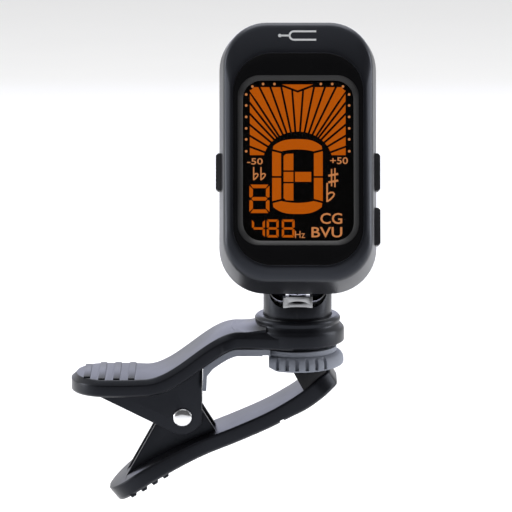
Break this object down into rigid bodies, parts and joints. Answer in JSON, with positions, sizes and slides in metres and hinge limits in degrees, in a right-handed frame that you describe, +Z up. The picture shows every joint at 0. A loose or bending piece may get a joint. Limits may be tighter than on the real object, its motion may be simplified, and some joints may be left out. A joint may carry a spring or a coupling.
{
  "type": "clip-on tuner",
  "caption": "Spring clip with rubber-lined jaws, a swivelling and tilting neck, and a display head with side buttons, for a headstock.",
  "frame": {"origin": "where the swivel axis meets the gripping face of the upper jaw pad", "axes": "+Z up along the swivel axis, +X towards the jaw ends, -Y the way the display faces"},
  "size_m": [0.0676, 0.0299, 0.1061],
  "materials": {
    "black_shell": "fine satin moulded ABS",
    "black_clip": "satin glass-filled nylon",
    "face_black": "smooth black applied panel",
    "clear_lens": "thin smoked acrylic window",
    "lcd_glass": "liquid crystal panel lit orange",
    "light_guide": "milky light guide",
    "rubber_grey": "grey thermoplastic rubber",
    "rubber_black": "black rubber",
    "steel": "zinc plated or polished steel",
    "spring_steel": "oiled spring wire",
    "nickel": "nickel plated contact",
    "brass": "piezo disc",
    "board_green": "solder mask",
    "chip_black": "moulded package",
    "zebra": "striped elastomer",
    "led": "orange lamp",
    "ptfe": "low friction washer"
  },
  "bodies": {
    "upper_clip": {"upper_arm": "black_clip", "jaw_liner": "rubber_grey", "upper_jaw_pad": "rubber_grey", "pivot_rivet": "steel", "torsion_spring": "spring_steel"},
    "lower_clip": {"lower_arm": "black_clip", "lower_jaw_pad": "rubber_black"},
    "swivel": {"swivel_base": "black_clip", "friction_ring": "ptfe", "swivel_washer": "steel", "swivel_screw": "steel", "hinge_bracket": "steel", "bracket_screw": "steel", "tilt_pin": "steel"},
    "head": {"front_housing": "black_shell", "face_plate": "face_black", "display_lens": "clear_lens", "lcd_panel": "lcd_glass", "light_guide": "light_guide", "elastomer_strips": "zebra", "backlight_leds": "led", "main_board": "board_green", "controller_chip": "chip_black", "side_switches": "nickel", "contact_negative": "nickel", "contact_positive": "nickel", "coin_cell": "nickel", "vibration_sensor": "brass", "rear_housing": "black_shell", "housing_screws": "steel"},
    "power_key": {"power_button": "black_shell"},
    "mode_key": {"mode_button": "black_shell"},
    "pitch_key": {"pitch_button": "black_shell"},
    "door": {"battery_door": "black_shell"}
  },
  "joints": [
    {"name": "jaw_hinge", "type": "hinge", "parent": "upper_clip", "child": "lower_clip", "pos_m": [-0.0252, 0, -0.01076], "axis": [0, 1, 0], "range_deg": [0, 28], "stiffness_Nm_per_rad": 0.12, "springref_deg": -28.65, "deforming": ["torsion_spring"]},
    {"name": "neck_swivel", "type": "hinge", "parent": "upper_clip", "child": "swivel", "pos_m": [0, 0, 0.011], "axis": [0, 0, 1], "continuous": true},
    {"name": "head_tilt", "type": "hinge", "parent": "swivel", "child": "head", "pos_m": [0, 0, 0.02], "axis": [1, 0, 0], "range_deg": [-72, 16]},
    {"name": "power_press", "type": "slide", "parent": "head", "child": "power_key", "axis": [1, 0, 0], "range_m": [0, 0.0004], "stiffness_N_per_m": 400},
    {"name": "mode_press", "type": "slide", "parent": "head", "child": "mode_key", "axis": [-1, 0, 0], "range_m": [0, 0.0004], "stiffness_N_per_m": 400},
    {"name": "pitch_press", "type": "slide", "parent": "head", "child": "pitch_key", "axis": [-1, 0, 0], "range_m": [0, 0.0004], "stiffness_N_per_m": 400},
    {"name": "door_pull", "type": "slide", "parent": "head", "child": "door", "axis": [0, 0.9511, -0.309], "range_m": [0, 0.01]}
  ]
}
